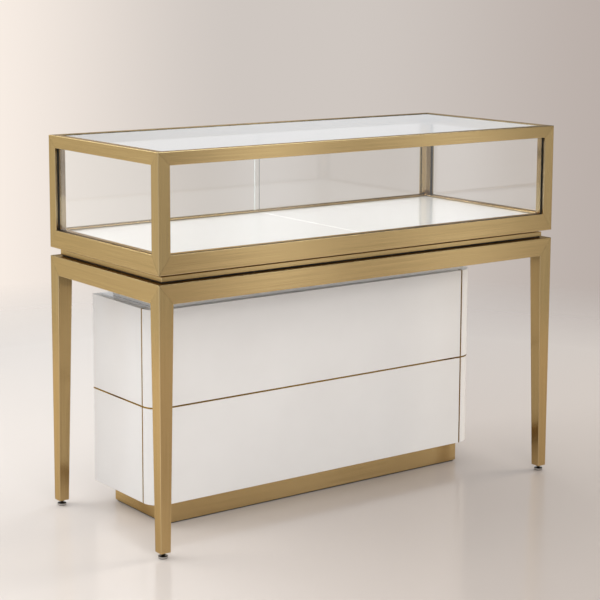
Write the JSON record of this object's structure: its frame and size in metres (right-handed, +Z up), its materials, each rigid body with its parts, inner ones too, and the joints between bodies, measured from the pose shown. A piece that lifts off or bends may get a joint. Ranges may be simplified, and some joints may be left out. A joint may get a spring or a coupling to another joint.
{
  "type": "jewelry showcase counter",
  "caption": "Shop display counter: glass case in a mitred gold frame with sliding rear doors, on a tapered-leg gold table over a white inlaid drawer cabinet.",
  "frame": {"origin": "on the floor, under the middle of the counter's length and depth", "axes": "+X along the counter, to the right seen from the customer's side; -Y the customer's side; +Z up"},
  "size_m": [1.2, 0.5, 0.92],
  "materials": {
    "brushed_gold": "brushed champagne-gold stainless steel, clear coated",
    "white_lacquer": "satin white lacquer on board",
    "gloss_white": "high-gloss white lacquer on board",
    "clear_glass": "clear toughened glass with polished edges",
    "black_rubber": "matte black",
    "bright_steel": "bright nickel-plated steel",
    "drawer_board": "pale melamine-faced board"
  },
  "bodies": {
    "showcase": {"case_post_front_left": "brushed_gold", "case_post_front_right": "brushed_gold", "case_post_rear_left": "brushed_gold", "case_post_rear_right": "brushed_gold", "case_top_rail_front": "brushed_gold", "case_top_rail_rear": "brushed_gold", "case_top_rail_left": "brushed_gold", "case_top_rail_right": "brushed_gold", "case_base_rail_front": "brushed_gold", "case_base_rail_rear": "brushed_gold", "case_base_rail_left": "brushed_gold", "case_base_rail_right": "brushed_gold", "front_glass": "clear_glass", "left_glass": "clear_glass", "right_glass": "clear_glass", "top_glass": "clear_glass", "front_gasket": "black_rubber", "left_gasket": "black_rubber", "right_gasket": "black_rubber", "deck_panel_left": "gloss_white", "deck_panel_right": "gloss_white", "door_track_lower": "brushed_gold", "door_track_upper": "brushed_gold", "band_board": "brushed_gold", "isolating_sheet": "black_rubber", "table_rail_front": "brushed_gold", "table_rail_rear": "brushed_gold", "table_rail_left": "brushed_gold", "table_rail_right": "brushed_gold", "table_leg_front_left": "brushed_gold", "table_leg_front_right": "brushed_gold", "table_leg_rear_left": "brushed_gold", "table_leg_rear_right": "brushed_gold", "neck": "white_lacquer", "cabinet_top": "white_lacquer", "cabinet_bottom": "white_lacquer", "cabinet_front": "white_lacquer", "cabinet_corner_left": "white_lacquer", "cabinet_corner_right": "white_lacquer", "cabinet_side_left": "white_lacquer", "cabinet_side_right": "white_lacquer", "plinth": "brushed_gold", "inlay_band": "brushed_gold", "inlay_strip_front_left": "brushed_gold", "inlay_strip_front_right": "brushed_gold", "inlay_strip_side_left": "brushed_gold", "inlay_strip_side_right": "brushed_gold"},
    "door_left": {"glass_door_left": "clear_glass"},
    "door_right": {"glass_door_right": "clear_glass"},
    "drawer_upper": {"drawer_front_upper": "white_lacquer", "drawer_box_upper": "drawer_board", "drawer_pull_upper": "brushed_gold"},
    "drawer_lower": {"drawer_front_lower": "white_lacquer", "drawer_box_lower": "drawer_board", "drawer_pull_lower": "brushed_gold"},
    "lock": {"drawer_lock": "bright_steel"},
    "foot_front_left": {"levelling_foot_front_left": "bright_steel"},
    "foot_front_right": {"levelling_foot_front_right": "bright_steel"},
    "foot_rear_left": {"levelling_foot_rear_left": "bright_steel"},
    "foot_rear_right": {"levelling_foot_rear_right": "bright_steel"}
  },
  "joints": [
    {"name": "door_left_slide", "type": "slide", "parent": "showcase", "child": "door_left", "axis": [1, 0, 0], "range_m": [0, 0.55]},
    {"name": "door_right_slide", "type": "slide", "parent": "showcase", "child": "door_right", "axis": [-1, 0, 0], "range_m": [0, 0.55]},
    {"name": "drawer_upper_slide", "type": "slide", "parent": "showcase", "child": "drawer_upper", "axis": [0, 1, 0], "range_m": [0, 0.15]},
    {"name": "drawer_lower_slide", "type": "slide", "parent": "showcase", "child": "drawer_lower", "axis": [0, 1, 0], "range_m": [0, 0.15]},
    {"name": "lock_turn", "type": "hinge", "parent": "drawer_upper", "child": "lock", "pos_m": [0, 0.215, 0.485], "axis": [0, -1, 0], "range_deg": [0, 90]},
    {"name": "foot_front_left_turn", "type": "hinge", "parent": "showcase", "child": "foot_front_left", "pos_m": [-0.587, -0.237, 0], "axis": [0, 0, 1], "continuous": true},
    {"name": "foot_front_right_turn", "type": "hinge", "parent": "showcase", "child": "foot_front_right", "pos_m": [0.587, -0.237, 0], "axis": [0, 0, 1], "continuous": true},
    {"name": "foot_rear_left_turn", "type": "hinge", "parent": "showcase", "child": "foot_rear_left", "pos_m": [-0.587, 0.237, 0], "axis": [0, 0, 1], "continuous": true},
    {"name": "foot_rear_right_turn", "type": "hinge", "parent": "showcase", "child": "foot_rear_right", "pos_m": [0.587, 0.237, 0], "axis": [0, 0, 1], "continuous": true}
  ]
}
